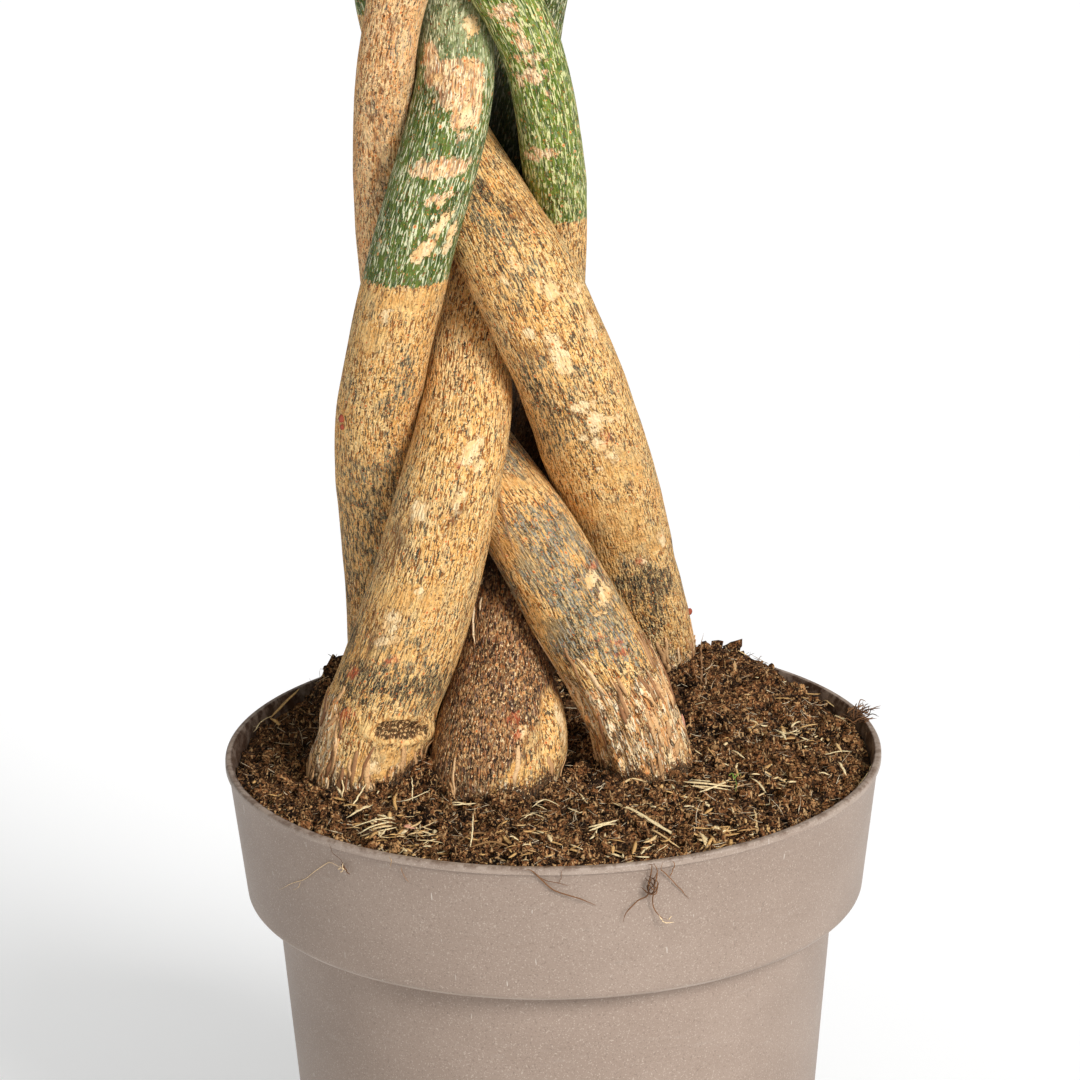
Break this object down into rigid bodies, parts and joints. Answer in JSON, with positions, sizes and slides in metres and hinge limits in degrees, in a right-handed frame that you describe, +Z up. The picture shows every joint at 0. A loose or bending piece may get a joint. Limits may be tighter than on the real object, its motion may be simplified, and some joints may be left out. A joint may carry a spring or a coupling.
{
  "type": "potted money tree",
  "caption": "Money tree with its trunks braided together, standing in soil in a round nursery pot with a wide collar, with a crown of palmate leaves.",
  "frame": {"origin": "middle of the pot's flat underside, on the surface that the pot stands on", "axes": "+Z up along the pot's axis; +Y towards the plant's back, away from the viewer of the picture; +X to the viewer's right"},
  "size_m": [0.5414, 0.5519, 1.2276],
  "materials": {
    "pot": "matt taupe moulded plastic with a fine speckle",
    "soil": "dark brown fibrous peat with straw and crumbs",
    "bark": "tan bark with fine grey-green streaks, green higher up",
    "leaf": "smooth green leaf with paler veins"
  },
  "bodies": {
    "root": {"pot": "pot", "soil": "soil", "trunk_left_front": "bark", "trunk_middle_front": "bark", "trunk_right_front": "bark", "trunk_right_back": "bark", "trunk_left_back": "bark", "leafy_shoot_1": "leaf", "leafy_shoot_2": "leaf", "leafy_shoot_3": "leaf", "leafy_shoot_4": "leaf", "leafy_shoot_5": "leaf", "leafy_shoot_6": "leaf", "leafy_shoot_7": "leaf", "leafy_shoot_8": "leaf", "leafy_shoot_9": "leaf", "leafy_shoot_10": "leaf"}
  },
  "joints": []
}
